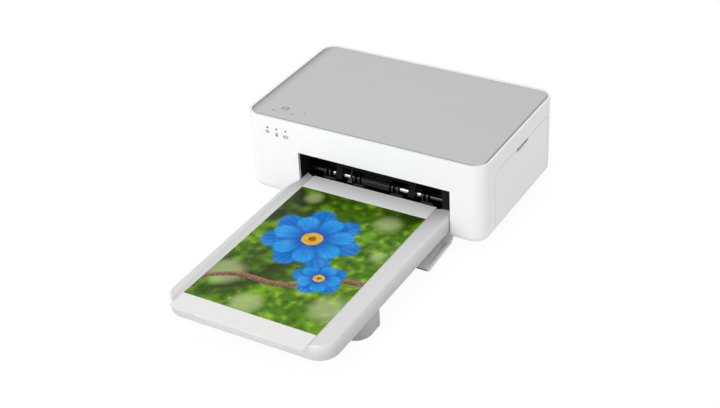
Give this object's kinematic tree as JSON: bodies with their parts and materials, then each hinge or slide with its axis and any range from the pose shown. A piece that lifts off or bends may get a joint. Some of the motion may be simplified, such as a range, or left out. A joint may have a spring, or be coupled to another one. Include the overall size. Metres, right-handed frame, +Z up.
{
  "type": "compact photo printer",
  "caption": "Compact box photo printer with a top panel, open front mouth, drop-down flap, side cartridge door and long paper tray carrying a finished print.",
  "frame": {"origin": "centre of the whole outline, printer and tray together, on the surface it stands on", "axes": "+X to the printer's right, +Y to its back, +Z up; the front face and the tray look along -Y"},
  "size_m": [0.1944, 0.2934, 0.072],
  "materials": {
    "shell_white": "satin moulded white",
    "panel_grey": "matt light grey",
    "button_grey": "matt light grey",
    "tray_white": "satin, faintly translucent grey white",
    "foot_grey": "matt grey",
    "flap_white": "satin moulded white",
    "black_plastic": "fine grained black",
    "black_rubber": "matt",
    "grey_rubber": "matt",
    "steel": "ground",
    "sheet_steel": "zinc plated",
    "brass": "turned",
    "gear_plastic": "natural acetal",
    "aluminium": "extruded",
    "ceramic": "glazed head bar",
    "board_green": "solder mask",
    "light_clear": "smoked clear",
    "cartridge_grey": "moulded dark grey",
    "ribbon": "thin dyed film",
    "paper": "uncoated back",
    "photo_paper": "gloss coated photo print"
  },
  "bodies": {
    "printer": {"outer_shell": "shell_white", "top_panel": "panel_grey", "light_pipe": "light_clear", "button_board": "board_green", "base_plate": "shell_white", "rubber_feet": "black_rubber", "base_screws": "steel", "flap_hinge_pins": "steel", "door_hinge_pins": "steel", "mouth_frame": "black_plastic", "exit_guide": "black_plastic", "paper_guide": "black_plastic", "feed_ramp": "black_plastic", "gear_axles": "steel", "drive_motor": "steel", "motor_bracket": "sheet_steel", "chassis_left": "sheet_steel", "chassis_right": "sheet_steel", "bearing_bushes": "brass", "head_crossbar": "sheet_steel", "head_pivot_shaft": "steel", "head_springs": "steel", "ribbon_film": "ribbon", "cartridge_frame": "cartridge_grey", "main_board": "board_green", "power_inlet": "black_plastic"},
    "button": {"power_button": "button_grey"},
    "flap": {"front_flap": "flap_white"},
    "door": {"cartridge_door": "shell_white"},
    "exit_roller": {"eject_shaft": "steel", "eject_roller": "black_rubber", "eject_rings": "black_plastic", "eject_gear": "gear_plastic"},
    "exit_idler": {"exit_idlers": "steel"},
    "pickup": {"pickup_shaft": "steel", "pickup_roller": "grey_rubber", "pickup_gear": "gear_plastic"},
    "feed": {"feed_roller": "steel", "feed_gear": "gear_plastic"},
    "pinch": {"pinch_roller": "steel"},
    "platen": {"platen_roller": "black_rubber", "platen_shaft": "steel", "platen_gear": "gear_plastic"},
    "lower_idler": {"lower_idler_gear": "gear_plastic"},
    "large_idler": {"large_idler_gear": "gear_plastic"},
    "small_idler": {"small_idler_gear": "gear_plastic"},
    "reduction": {"reduction_gear": "gear_plastic"},
    "rotor": {"motor_pinion": "brass"},
    "takeup": {"takeup_gear": "gear_plastic", "takeup_spool": "cartridge_grey"},
    "supply": {"supply_spool": "cartridge_grey"},
    "head": {"thermal_head": "ceramic", "head_bracket": "aluminium"},
    "tray": {"tray_base": "tray_white", "tray_foot": "foot_grey", "lift_spring": "steel"},
    "tray_cover": {"tray_lid": "tray_white"},
    "paper_lift": {"lift_plate": "sheet_steel", "paper_stack": "paper"},
    "print": {"photo_print": "photo_paper"}
  },
  "joints": [
    {"name": "button_press", "type": "slide", "parent": "printer", "child": "button", "axis": [0, 0, -1], "range_m": [0, 0.0008], "stiffness_N_per_m": 500, "springref_m": -0.001},
    {"name": "flap_hinge", "type": "hinge", "parent": "printer", "child": "flap", "pos_m": [0, 0.02975, 0.0091], "axis": [-1, 0, 0], "range_deg": [0, 15]},
    {"name": "door_hinge", "type": "hinge", "parent": "printer", "child": "door", "pos_m": [0.09025, 0.02375, 0.015], "axis": [0, 1, 0], "range_deg": [0, 88]},
    {"name": "platen_spin", "type": "hinge", "parent": "printer", "child": "platen", "pos_m": [0, 0.09774, 0.0265], "axis": [1, 0, 0], "continuous": true},
    {"name": "lower_idler_spin", "type": "hinge", "parent": "printer", "child": "lower_idler", "pos_m": [0, 0.08615, 0.02156], "axis": [1, 0, 0], "continuous": true},
    {"name": "feed_spin", "type": "hinge", "parent": "printer", "child": "feed", "pos_m": [0, 0.07975, 0.0295], "axis": [1, 0, 0], "continuous": true},
    {"name": "pinch_spin", "type": "hinge", "parent": "printer", "child": "pinch", "pos_m": [0, 0.07975, 0.0364], "axis": [1, 0, 0], "continuous": true},
    {"name": "large_idler_spin", "type": "hinge", "parent": "printer", "child": "large_idler", "pos_m": [0, 0.06498, 0.03751], "axis": [1, 0, 0], "continuous": true},
    {"name": "small_idler_spin", "type": "hinge", "parent": "printer", "child": "small_idler", "pos_m": [0, 0.04856, 0.03013], "axis": [1, 0, 0], "continuous": true},
    {"name": "exit_roller_spin", "type": "hinge", "parent": "printer", "child": "exit_roller", "pos_m": [0, 0.03975, 0.0283], "axis": [1, 0, 0], "continuous": true},
    {"name": "exit_idler_spin", "type": "hinge", "parent": "printer", "child": "exit_idler", "pos_m": [0, 0.03975, 0.02185], "axis": [1, 0, 0], "continuous": true},
    {"name": "pickup_spin", "type": "hinge", "parent": "printer", "child": "pickup", "pos_m": [0, 0.05475, 0.0236], "axis": [1, 0, 0], "continuous": true},
    {"name": "takeup_spin", "type": "hinge", "parent": "printer", "child": "takeup", "pos_m": [0, 0.07724, 0.049], "axis": [1, 0, 0], "continuous": true},
    {"name": "supply_spin", "type": "hinge", "parent": "printer", "child": "supply", "pos_m": [0, 0.12124, 0.049], "axis": [1, 0, 0], "continuous": true},
    {"name": "reduction_spin", "type": "hinge", "parent": "printer", "child": "reduction", "pos_m": [0, 0.10732, 0.02999], "axis": [1, 0, 0], "continuous": true},
    {"name": "rotor_spin", "type": "hinge", "parent": "printer", "child": "rotor", "pos_m": [0, 0.11315, 0.0425], "axis": [1, 0, 0], "continuous": true},
    {"name": "head_lower", "type": "hinge", "parent": "printer", "child": "head", "pos_m": [0, 0.13574, 0.064], "axis": [1, 0, 0], "range_deg": [0, 13.5], "stiffness_Nm_per_rad": 0.5, "springref_deg": -11.46, "deforming": ["head_springs", "ribbon_film"]},
    {"name": "tray_slide", "type": "slide", "parent": "printer", "child": "tray", "axis": [0, -1, 0], "range_m": [0, 0.036]},
    {"name": "tray_cover_slide", "type": "slide", "parent": "tray", "child": "tray_cover", "axis": [0, -1, 0], "range_m": [0, 0.1]},
    {"name": "print_slide", "type": "slide", "parent": "tray_cover", "child": "print", "axis": [0, -0.9999, 0.0126], "range_m": [0, 0.15]},
    {"name": "paper_lift_hinge", "type": "hinge", "parent": "tray", "child": "paper_lift", "pos_m": [0, -0.07625, 0.01605], "axis": [-1, 0, 0], "range_deg": [0, 0.3], "stiffness_Nm_per_rad": 1.5, "springref_deg": -5.73, "deforming": ["lift_spring"]}
  ],
  "couplings": [
    {"joint": "lower_idler_spin", "follows": "platen_spin", "ratio": -1.1},
    {"joint": "feed_spin", "follows": "platen_spin", "ratio": 1.5714},
    {"joint": "pinch_spin", "follows": "platen_spin", "ratio": -1.8333},
    {"joint": "large_idler_spin", "follows": "platen_spin", "ratio": -0.52381},
    {"joint": "small_idler_spin", "follows": "platen_spin", "ratio": 1.2222},
    {"joint": "exit_roller_spin", "follows": "platen_spin", "ratio": -1.8333},
    {"joint": "exit_idler_spin", "follows": "platen_spin", "ratio": 6.0238},
    {"joint": "pickup_spin", "follows": "platen_spin", "ratio": -1.8333},
    {"joint": "takeup_spin", "follows": "platen_spin", "ratio": 1.5714},
    {"joint": "supply_spin", "follows": "platen_spin", "ratio": 1.0476},
    {"joint": "reduction_spin", "follows": "platen_spin", "ratio": -1.8333},
    {"joint": "rotor_spin", "follows": "platen_spin", "ratio": 6.6}
  ]
}
